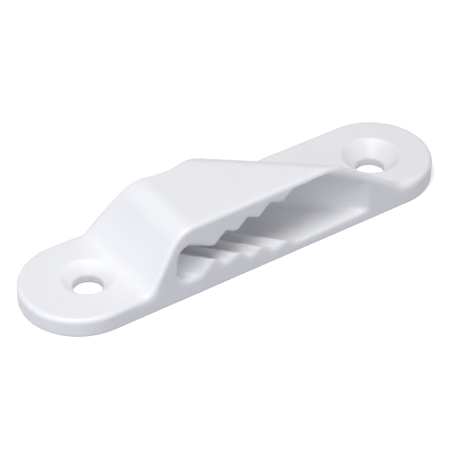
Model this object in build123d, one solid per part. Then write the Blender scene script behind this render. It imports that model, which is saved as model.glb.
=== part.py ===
"""Side-entry jam cleat for light rope: one injection-moulded nylon body.

Frame, in millimetres: X runs along the cleat, from the ramp end to the low end.
-Y is the side where the rope is laid in, +Y the side where it leaves, +Z is up.
The origin is the centre of the underside, which is screwed down on the plane z = 0.
"""
import math
import os

from build123d import *

# Base plate
LENGTH = 82.0
WIDTH = 21.2
RAMP_PAD_HEIGHT = 3.45        # pad at the ramp end, -X
LOW_PAD_HEIGHT = 4.15         # pad at the low end, +X
PAD_STEP_X = -8.0             # where the two heights meet, inside the jaw block
FRONT = -WIDTH / 2
BACK = WIDTH / 2

# Screw holes, for 5 mm countersunk screws whose heads start at one height in both pads
HOLE_SPACING = 59.0
HOLE_OFFSET = 0.4             # the pair sits slightly towards the low end
HOLE_RADIUS = 2.6
SINK_BOTTOM_Z = 1.55
SINK_ANGLE = 90.0

# Outside of the jaw block
BLOCK_BOTTOM_Z = 1.0          # inside the plate
RAMP_FOOT_X = -23.3
RAMP_TOP_X = -17.5
TOP_LEFT_Z = 14.4
TOP_RIGHT_Z = 14.75
FLANK_TOP_X = 15.2            # on the front face
FLANK_FOOT_X = 30.0
BACK_TOP_Y = 5.6              # the back wall leans forwards from the plate's edge
DIP_CENTRE_X = -10.5          # shallow hollow down the back wall, over the rope exit
DIP_RADIUS = 14.0
DIP_DEPTH = 0.8

# Outer edges
RIDGE_RADIUS = 5.0
RAMP_FOOT_RADIUS = 2.0
FLANK_TOP_RADIUS = 4.0
FLANK_FOOT_RADIUS = 1.5
FRONT_EDGE_RADIUS = 0.75
BACK_EDGE_RADIUS = 1.0

# Teeth, web and flank all run across the block in one direction
RIB_ANGLE = 39.3              # from -X towards +Y
TEETH_CLIMB = 6.5             # lower teeth climb towards the back, degrees
ROOF_CLIMB = -3.5             # upper teeth and roof fall towards the back

# Passage behind the mouth, at its ramp end
PASSAGE_LEFT_X = -17.95
PASSAGE_FLOOR_Z = 3.3
FLOOR_CORNER_RADIUS = 2.8
ROOF_CORNER_RADIUS = 2.5

# Mouth outline where it meets the front face: x, z, corner radius, climb
LOWER_JAW = [
    (-13.2, PASSAGE_FLOOR_Z, 1.6, TEETH_CLIMB),
    (-10.6, 6.10, 0.4, TEETH_CLIMB),
    (-8.3, 3.65, 0.7, TEETH_CLIMB),
    (-5.6, 5.05, 0.4, TEETH_CLIMB),
    (-3.0, 2.80, 0.5, TEETH_CLIMB),
    (-1.1, 4.35, 0.35, TEETH_CLIMB),
    (1.7, 2.15, 0.6, TEETH_CLIMB),
    (4.1, 3.30, 0.35, TEETH_CLIMB),
    (6.2, 1.95, 0.8, 0.0),
    (21.65, 2.15, 0.5, 0.0),
]
UPPER_JAW = [
    (20.75, 8.35, 0.3, ROOF_CLIMB),
    (12.3, 13.75, 1.5, ROOF_CLIMB),
    (5.1, 13.45, 0.5, ROOF_CLIMB),
    (3.2, 11.85, 0.3, ROOF_CLIMB),
    (0.5, 12.80, 0.5, ROOF_CLIMB),
    (-1.6, 10.60, 0.3, ROOF_CLIMB),
    (-3.9, 11.80, 0.5, ROOF_CLIMB),
    (-6.0, 9.65, 0.3, ROOF_CLIMB),
    (-8.2, 10.85, 0.5, ROOF_CLIMB),
    (-10.7, 8.60, 0.3, ROOF_CLIMB),
    (-14.8, 10.95, 2.0, ROOF_CLIMB),
]

# Rope exit through the back wall
BACK_WALL = 2.2               # thickness, along Y
EXIT_LEFT_X = -16.4
EXIT_RIGHT_X = -4.8
EXIT_LOW_Z = 5.4
EXIT_HIGH_Z = 10.6
EXIT_RADIUS = 2.2
EXIT_START_Y = 1.6            # inside the passage

FAR = 60.0                    # beyond every face of the cleat
HIGH = 30.0
RIB_START = -2.0              # in front of the front face
RIB_END = 40.0                # behind the back wall
RIB_DIRECTION = Vector(-math.cos(math.radians(RIB_ANGLE)), math.sin(math.radians(RIB_ANGLE)), 0)


def along_ribs(x, z, distance, climb=0.0):
    """The point a plan distance along the ribs from (x, z) on the front face."""
    rise = Vector(0, 0, distance * math.tan(math.radians(climb)))
    return Vector(x, FRONT, z) + RIB_DIRECTION * distance + rise


def on_line(start, end, z):
    """First coordinate of the point at height z on a sloping line."""
    share = (z - start[1]) / (end[1] - start[1])
    return start[0] + share * (end[0] - start[0])


def prism_y(points, radii=None):
    """A closed (x, z) outline extruded over more than the whole width."""
    corners = [(x, -FAR, z) for x, z in points]
    outline = FilletPolyline(*corners, radius=radii or [0] * len(corners), close=True)
    return extrude(make_face(outline), amount=2 * FAR, dir=(0, 1, 0))


def prism_x(points):
    """A closed (y, z) outline extruded over more than the whole length."""
    outline = Polyline(*[(-FAR, y, z) for y, z in points], close=True)
    return extrude(make_face(outline), amount=2 * FAR, dir=(1, 0, 0))


def nearest_edge(shape, x, y, z):
    return shape.edges().sort_by(lambda edge: edge.distance_to(Vertex(x, y, z)))[0]


# --- Outside ---

def stadium(height):
    return extrude(SlotOverall(LENGTH, WIDTH), amount=height)


def base_plate():
    """Two pads of different height that meet inside the block."""
    low_end = Pos(PAD_STEP_X + FAR / 2, 0, 0) * Box(FAR, FAR, FAR)
    return stadium(RAMP_PAD_HEIGHT) + (stadium(LOW_PAD_HEIGHT) & low_end)


def back_wall_y(z):
    return on_line((BACK, LOW_PAD_HEIGHT), (BACK_TOP_Y, TOP_LEFT_Z), z)


def back_dip():
    """A cylinder lying in the slope of the back wall, which it cuts to a shallow hollow."""
    lean = math.atan2(BACK - BACK_TOP_Y, TOP_LEFT_Z - LOW_PAD_HEIGHT)
    foot_y = back_wall_y(0) + DIP_RADIUS / math.cos(lean) - DIP_DEPTH
    cylinder = Cylinder(DIP_RADIUS, 2 * FAR) & (Pos(0, 0, FAR) * Box(FAR, FAR, 2 * FAR))
    return Pos(DIP_CENTRE_X, foot_y, 0) * Rot(math.degrees(lean), 0, 0) * cylinder


def jaw_block():
    ramp = (RAMP_FOOT_X, RAMP_PAD_HEIGHT), (RAMP_TOP_X, TOP_LEFT_Z)
    flank = (FLANK_TOP_X, TOP_RIGHT_Z), (FLANK_FOOT_X, LOW_PAD_HEIGHT)
    top_slope = (TOP_RIGHT_Z - TOP_LEFT_Z) / (FLANK_TOP_X - RAMP_TOP_X)
    ramp_and_top = prism_y([
        (on_line(*ramp, BLOCK_BOTTOM_Z), BLOCK_BOTTOM_Z),
        (RAMP_TOP_X, TOP_LEFT_Z),
        (FAR, TOP_LEFT_Z + top_slope * (FAR - RAMP_TOP_X)),
        (FAR, BLOCK_BOTTOM_Z),
    ])
    under_flank = make_face(Polyline(
        (-FAR, FRONT, BLOCK_BOTTOM_Z),
        (on_line(*flank, BLOCK_BOTTOM_Z), FRONT, BLOCK_BOTTOM_Z),
        (on_line(*flank, HIGH), FRONT, HIGH),
        (-FAR, FRONT, HIGH),
        close=True,
    ))
    under_flank = extrude(under_flank, amount=FAR, dir=RIB_DIRECTION)
    before_back = prism_x([
        (FRONT, BLOCK_BOTTOM_Z),
        (BACK, BLOCK_BOTTOM_Z),
        (BACK, LOW_PAD_HEIGHT),
        (back_wall_y(HIGH), HIGH),
        (FRONT, HIGH),
    ])
    return ramp_and_top & under_flank & before_back & stadium(HIGH)


def outside():
    """Plate and block as one body, with its outer edges rounded."""
    to_back = WIDTH / math.sin(math.radians(RIB_ANGLE))
    flank_foot = along_ribs(FLANK_FOOT_X, LOW_PAD_HEIGHT, to_back / 2)
    flank_top = along_ribs(FLANK_TOP_X, TOP_RIGHT_Z, to_back / 2)
    foot_corner = along_ribs(FLANK_FOOT_X, LOW_PAD_HEIGHT, to_back)
    back_share = (BACK_TOP_Y - FRONT) / WIDTH
    top_corner = along_ribs(FLANK_TOP_X, TOP_RIGHT_Z, to_back * back_share)
    back_corner = (foot_corner + top_corner) / 2
    rounds = [
        ((RAMP_TOP_X, 0, TOP_LEFT_Z), RIDGE_RADIUS),
        ((RAMP_FOOT_X, 0, RAMP_PAD_HEIGHT), RAMP_FOOT_RADIUS),
        (tuple(flank_top), FLANK_TOP_RADIUS),
        ((0, FRONT, TOP_LEFT_Z), FRONT_EDGE_RADIUS),
        ((HOLE_SPACING / 2, BACK, LOW_PAD_HEIGHT), BACK_EDGE_RADIUS),
        (tuple(back_corner), BACK_EDGE_RADIUS),
        (tuple(flank_foot), FLANK_FOOT_RADIUS),
    ]
    body = base_plate() + jaw_block()
    for point, radius in rounds:
        body = fillet(nearest_edge(body, *point), radius)
    return body


def screw_hole(x):
    """Through hole and countersink, which is wider at the top of the higher pad."""
    height = LOW_PAD_HEIGHT - SINK_BOTTOM_Z
    top_radius = HOLE_RADIUS + height * math.tan(math.radians(SINK_ANGLE / 2))
    sink = Cone(HOLE_RADIUS, top_radius, height)
    return Pos(x, 0, 0) * (Cylinder(HOLE_RADIUS, HIGH) + Pos(0, 0, SINK_BOTTOM_Z + height / 2) * sink)


# --- Rope passage ---

def rib_loft(corners):
    """A closed outline on the front face, carried along the ribs; each corner climbs on its own."""
    ends = []
    for distance in (RIB_START, RIB_END):
        points = [along_ribs(x, z, distance, climb) for x, z, _, climb in corners]
        radii = [radius for _, _, radius, _ in corners]
        ends.append(make_face(FilletPolyline(*points, radius=radii, close=True)))
    return loft(ends, ruled=True)


def between_jaws():
    web = LOWER_JAW[-1][:2], UPPER_JAW[0][:2]
    above_lower = rib_loft([
        (-FAR, PASSAGE_FLOOR_Z, 0, TEETH_CLIMB),
        *LOWER_JAW,
        (on_line(*web, HIGH), HIGH, 0, 0),
        (-FAR, HIGH, 0, 0),
    ])
    below_upper = rib_loft([
        (-FAR, -HIGH, 0, 0),
        (on_line(*web, -HIGH), -HIGH, 0, 0),
        *UPPER_JAW,
        (-FAR, UPPER_JAW[-1][1], 0, ROOF_CLIMB),
    ])
    return above_lower & below_upper


def passage_limits():
    """Right of the ramp's wall and in front of the back wall."""
    roof_x, roof_z, _, _ = UPPER_JAW[-1]
    floor_x = LOWER_JAW[0][0]
    right_of_ramp = prism_y(
        [
            (roof_x, HIGH),
            (roof_x, roof_z),
            (PASSAGE_LEFT_X, roof_z),
            (PASSAGE_LEFT_X, PASSAGE_FLOOR_Z),
            (floor_x, PASSAGE_FLOOR_Z),
            (floor_x, 0),
            (FAR, 0),
            (FAR, HIGH),
        ],
        [0, 0, ROOF_CORNER_RADIUS, FLOOR_CORNER_RADIUS, 0, 0, 0, 0],
    )
    before_back = prism_x([
        (-FAR, 0),
        (back_wall_y(0) - BACK_WALL, 0),
        (back_wall_y(HIGH) - BACK_WALL, HIGH),
        (-FAR, HIGH),
    ])
    return right_of_ramp & before_back


def rope_exit():
    width = EXIT_RIGHT_X - EXIT_LEFT_X
    height = EXIT_HIGH_Z - EXIT_LOW_Z
    window = Plane.XZ * RectangleRounded(width, height, EXIT_RADIUS)
    centre = Pos(EXIT_LEFT_X + width / 2, EXIT_START_Y, EXIT_LOW_Z + height / 2)
    return centre * extrude(window, amount=FAR, dir=(0, 1, 0))


def cleat_body():
    body = outside() - back_dip()
    passage = between_jaws() & passage_limits()
    body -= passage + rope_exit()
    for side in (-1, 1):
        body -= screw_hole(HOLE_OFFSET + side * HOLE_SPACING / 2)
    return body


if __name__ == "__main__":
    os.makedirs("parts", exist_ok=True)
    body = cleat_body()
    print(f"volume {body.volume:.0f} mm3, solids {len(body.solids())}, valid {body.is_valid}")
    export_step(body, "parts/cleat_body.step")
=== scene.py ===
import math

import bmesh
import bpy
import numpy as np
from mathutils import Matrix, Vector
from mathutils.kdtree import KDTree


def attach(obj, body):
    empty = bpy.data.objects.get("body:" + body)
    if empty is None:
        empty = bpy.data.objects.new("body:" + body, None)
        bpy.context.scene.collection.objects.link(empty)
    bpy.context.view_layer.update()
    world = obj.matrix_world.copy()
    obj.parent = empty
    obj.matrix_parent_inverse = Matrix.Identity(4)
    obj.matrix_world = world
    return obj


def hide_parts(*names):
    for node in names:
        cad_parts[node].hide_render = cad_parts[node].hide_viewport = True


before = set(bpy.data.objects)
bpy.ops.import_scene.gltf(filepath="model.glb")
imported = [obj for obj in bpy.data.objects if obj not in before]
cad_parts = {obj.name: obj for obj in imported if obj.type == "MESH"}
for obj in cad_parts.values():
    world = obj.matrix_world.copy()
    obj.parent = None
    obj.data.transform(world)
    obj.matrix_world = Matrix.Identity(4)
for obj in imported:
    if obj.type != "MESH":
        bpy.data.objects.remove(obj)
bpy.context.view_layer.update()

MM = 0.001
NODE = "cleat_body"

# Camera: where it looks, and from where
AIM = Vector((-4.31, -4.10, 6.0)) * MM
AZIMUTH = math.radians(-34.28)
ELEVATION = math.radians(37.97)
DISTANCE = 335.6 * MM
LENS = 158.98
SENSOR = 36.0
CLIP = (0.01, 10.0)

# Studio, in metres and watts
COOL = (0.87, 0.885, 1.0)
WARM = (1.0, 1.0, 0.975)
SKY_STRENGTH = 0.335
LIGHTS = [                    # name, place, width and height, power, colour
    ("key", (-0.18, -0.17, 0.76), (0.4, 0.4), 4.0, WARM),
    ("left", (-0.78, 0.0, 0.14), (0.4, 0.2), 1.4, COOL),
    ("front", (-0.15, -0.76, 0.10), (0.5, 0.18), 0.7, COOL),
]
FLOOR_COLOR = 0.95
FLOOR_ROUGHNESS = 0.9
FLOOR_SPECULAR = 0.1
FLOOR_GLOW = 0.25
FLOOR_REACH = 3.0

# Nylon: its colour and sheen vary faintly, over slow flow waves and a fine matt grain
NYLON = (0.935, 0.935, 0.935)
NYLON_DULL = (0.915, 0.915, 0.915)
CLOUD = 9 * MM
ROUGHNESS = (0.36, 0.46)
SHEEN_PATCH = 4 * MM
FLOW = 5 * MM
FLOW_DEPTH = 0.05 * MM
GRAIN = 0.35 * MM
GRAIN_DEPTH = 0.003 * MM
NOISE_RANGE = (0.3, 0.7)      # nearly all of a noise's values lie between these
REFRACTION = 1.53
TRANSLUCENCY = 0.3
LIGHT_DEPTH = 0.8 * MM        # how far light travels inside
LIGHT_DEPTH_RGB = (1.0, 0.95, 0.9)

# Moulding: the CAD body is remeshed finely, then its edges are softened
WELD = 0.001 * MM
SHARP = math.radians(30)
VOXEL = 0.17 * MM
SOFT_STEPS = 90
SOFT_STRIDE = 0.5             # how far a vertex moves towards its neighbours in one step
SOFT_LOWER = 0.36             # share of the steps: lips under the mouth, well rounded
SOFT_UPPER = 0.15             # lips over it, crisper
SOFT_EXIT = 0.3               # rim of the rope exit
SOFT_ELSEWHERE = 0.04
LIP_CORE = 0.9 * MM           # full softening this close to a lip
LIP_REACH = 2.2 * MM          # and none of it from here on
LOWER_LIP_Z = 6.6 * MM        # lips up to this height are lower ones
UPPER_LIP_Z = 8.4 * MM        # and from this height on upper ones
LINE_STEP = 0.2 * MM

# Where the sharp edges of the mouth and of the rope exit are
FRONT_MARGIN = 0.02 * MM
UNDERSIDE_EDGE_Z = 1.5 * MM
EXIT_LOW = Vector((-18.0, 4.0, 3.5)) * MM
EXIT_HIGH = Vector((-3.0, 10.7, 12.0)) * MM

# Feet of the ramp and of the flank: start, end, reach of the softening
FEET = [
    (Vector((-23.3, -10.6, 3.5)) * MM, Vector((-23.3, 10.6, 3.5)) * MM, 4.0 * MM),
    (Vector((30.0, -10.6, 4.2)) * MM, Vector((17.1, 0.0, 4.2)) * MM, 3.5 * MM),
]


def link(obj):
    bpy.context.scene.collection.objects.link(obj)
    return obj


# --- Body ---

def welded(source):
    """A copy whose faces share their vertices along sharp edges too."""
    mesh = source.copy()
    shape = bmesh.new()
    shape.from_mesh(mesh)
    bmesh.ops.remove_doubles(shape, verts=shape.verts, dist=WELD)
    shape.to_mesh(mesh)
    shape.free()
    return mesh


def sharp_edges(mesh):
    """The two ends of each sharp edge."""
    shape = bmesh.new()
    shape.from_mesh(mesh)
    edges = [edge for edge in shape.edges if edge.calc_face_angle(0) > SHARP]
    ends = [[vertex.co.copy() for vertex in edge.verts] for edge in edges]
    shape.free()
    return ends


def line_points(start, end):
    steps = max(1, math.ceil((end - start).length / LINE_STEP))
    return [start.lerp(end, i / steps) for i in range(steps + 1)]


def points_along(edges, belongs):
    """Points along the edges whose two ends both belong."""
    points = []
    for start, end in edges:
        if belongs(start) and belongs(end):
            points += line_points(start, end)
    return points


def mouth_lips(edges, front):
    """Points along the mouth's edges, where it opens through the front face."""
    return points_along(edges, lambda co: co.y < front + FRONT_MARGIN and co.z > UNDERSIDE_EDGE_Z)


def exit_lips(edges):
    """Points along the rim of the rope exit in the back wall."""
    return points_along(edges, lambda co: all(
        low < value < high for low, value, high in zip(EXIT_LOW, co, EXIT_HIGH)
    ))


def smoothstep(value, low, high):
    share = np.clip((value - low) / (high - low), 0, 1)
    return share * share * (3 - 2 * share)


def nearness(co, points, core, reach):
    """1 within core of the points, falling to 0 at reach."""
    tree = KDTree(len(points))
    for i, point in enumerate(points):
        tree.insert(point, i)
    tree.balance()
    distance = np.array([tree.find(point)[2] for point in co])
    return 1 - smoothstep(distance, core, reach)


def soft_weights(co, lips, exit_rim):
    """How much each vertex is softened, from 0 to 1."""
    upper = smoothstep(co[:, 2], LOWER_LIP_Z, UPPER_LIP_Z)
    lip = SOFT_LOWER + (SOFT_UPPER - SOFT_LOWER) * upper
    weight = SOFT_ELSEWHERE + (lip - SOFT_ELSEWHERE) * nearness(co, lips, LIP_CORE, LIP_REACH)
    weight = np.maximum(weight, SOFT_EXIT * nearness(co, exit_rim, LIP_CORE, LIP_REACH))
    for start, end, reach in FEET:
        weight = np.maximum(weight, nearness(co, line_points(start, end), 0, reach))
    return weight


def soften(mesh, lips, exit_rim):
    """Evens out each vertex with its neighbours, most where the weights are high."""
    count = len(mesh.vertices)
    co = np.empty(count * 3)
    mesh.vertices.foreach_get("co", co)
    co = co.reshape(-1, 3)
    edges = np.empty(len(mesh.edges) * 2, int)
    mesh.edges.foreach_get("vertices", edges)
    a, b = edges.reshape(-1, 2).T
    degree = np.bincount(a, minlength=count) + np.bincount(b, minlength=count)
    weight = soft_weights(co, lips, exit_rim)
    for step in range(SOFT_STEPS):
        share = SOFT_STRIDE * np.clip(weight * SOFT_STEPS - step, 0, 1)
        for axis in range(3):
            value = co[:, axis]
            around = np.bincount(a, value[b], count) + np.bincount(b, value[a], count)
            co[:, axis] = value + share * (around / degree - value)
    mesh.vertices.foreach_set("co", co.ravel())
    mesh.update()


def moulded_body():
    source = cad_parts[NODE].data
    front = min(vertex.co.y for vertex in source.vertices)
    obj = link(bpy.data.objects.new("cleat", welded(source)))
    edges = sharp_edges(obj.data)
    remesh = obj.modifiers.new("remesh", "REMESH")
    remesh.mode = "VOXEL"
    remesh.voxel_size = VOXEL
    depsgraph = bpy.context.evaluated_depsgraph_get()
    mesh = bpy.data.meshes.new_from_object(obj.evaluated_get(depsgraph))
    obj.modifiers.clear()
    obj.data = mesh
    soften(mesh, mouth_lips(edges, front), exit_lips(edges))
    mesh.shade_smooth()
    mesh.materials.clear()
    mesh.materials.append(nylon())
    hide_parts(NODE)
    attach(obj, "root")


# --- Material ---

def nylon():
    material = bpy.data.materials.new("white_nylon")
    material.use_nodes = True
    nodes, links = material.node_tree.nodes, material.node_tree.links
    shader = nodes["Principled BSDF"]
    place = nodes.new("ShaderNodeTexCoord").outputs["Object"]

    def noise(size):
        node = nodes.new("ShaderNodeTexNoise")
        links.new(place, node.inputs["Vector"])
        node.inputs["Scale"].default_value = 1 / size
        return node.outputs["Fac"]

    def spread(source, low, high):
        node = nodes.new("ShaderNodeMapRange")
        links.new(source, node.inputs["Value"])
        node.inputs["From Min"].default_value, node.inputs["From Max"].default_value = NOISE_RANGE
        node.inputs["To Min"].default_value = low
        node.inputs["To Max"].default_value = high
        return node.outputs["Result"]

    def bump(size, depth):
        node = nodes.new("ShaderNodeBump")
        node.inputs["Distance"].default_value = depth
        links.new(noise(size), node.inputs["Height"])
        return node

    cloud = nodes.new("ShaderNodeMix")
    cloud.data_type = "RGBA"
    cloud.inputs["A"].default_value = (*NYLON_DULL, 1)
    cloud.inputs["B"].default_value = (*NYLON, 1)
    links.new(spread(noise(CLOUD), 0, 1), cloud.inputs["Factor"])
    links.new(cloud.outputs["Result"], shader.inputs["Base Color"])
    links.new(spread(noise(SHEEN_PATCH), *ROUGHNESS), shader.inputs["Roughness"])

    flow = bump(FLOW, FLOW_DEPTH)
    grain = bump(GRAIN, GRAIN_DEPTH)
    links.new(flow.outputs["Normal"], grain.inputs["Normal"])
    links.new(grain.outputs["Normal"], shader.inputs["Normal"])
    shader.inputs["IOR"].default_value = REFRACTION
    shader.inputs["Subsurface Weight"].default_value = TRANSLUCENCY
    shader.inputs["Subsurface Radius"].default_value = LIGHT_DEPTH_RGB
    shader.inputs["Subsurface Scale"].default_value = LIGHT_DEPTH
    return material


# --- Studio ---

def camera():
    data = bpy.data.cameras.new("camera")
    data.lens = LENS
    data.sensor_width = SENSOR
    data.clip_start, data.clip_end = CLIP
    cam = link(bpy.data.objects.new("camera", data))
    back = Vector((
        math.sin(AZIMUTH) * math.cos(ELEVATION),
        -math.cos(AZIMUTH) * math.cos(ELEVATION),
        math.sin(ELEVATION),
    ))
    cam.location = AIM + back * DISTANCE
    cam.rotation_mode = "QUATERNION"
    cam.rotation_quaternion = (-back).to_track_quat("-Z", "Y")
    bpy.context.scene.camera = cam


def area_light(name, location, size, power, color):
    """A panel that faces the origin."""
    data = bpy.data.lights.new(name, "AREA")
    data.shape = "RECTANGLE"
    data.size, data.size_y = size
    data.energy = power
    data.color = color
    light = link(bpy.data.objects.new(name, data))
    light.location = location
    light.rotation_mode = "QUATERNION"
    light.rotation_quaternion = (-Vector(location)).to_track_quat("-Z", "Y")


def floor():
    """A pale floor that takes the cleat's shadow and sends no diffuse light back to it."""
    mesh = bpy.data.meshes.new("floor")
    corners = [(-1, -1, 0), (1, -1, 0), (1, 1, 0), (-1, 1, 0)]
    mesh.from_pydata([Vector(corner) * FLOOR_REACH for corner in corners], [], [(0, 1, 2, 3)])
    material = bpy.data.materials.new("floor")
    material.use_nodes = True
    shader = material.node_tree.nodes["Principled BSDF"]
    shader.inputs["Base Color"].default_value = (FLOOR_COLOR, FLOOR_COLOR, FLOOR_COLOR, 1)
    shader.inputs["Roughness"].default_value = FLOOR_ROUGHNESS
    shader.inputs["Specular IOR Level"].default_value = FLOOR_SPECULAR
    shader.inputs["Emission Color"].default_value = (1, 1, 1, 1)
    shader.inputs["Emission Strength"].default_value = FLOOR_GLOW
    mesh.materials.append(material)
    obj = link(bpy.data.objects.new("floor", mesh))
    obj.visible_diffuse = False


def sky():
    world = bpy.data.worlds.new("studio")
    bpy.context.scene.world = world
    world.use_nodes = True
    background = world.node_tree.nodes["Background"]
    background.inputs["Color"].default_value = (*COOL, 1)
    background.inputs["Strength"].default_value = SKY_STRENGTH


moulded_body()
camera()
sky()
floor()
for panel in LIGHTS:
    area_light(*panel)
bpy.context.scene.view_settings.view_transform = "Standard"
bpy.context.scene.view_settings.look = "None"
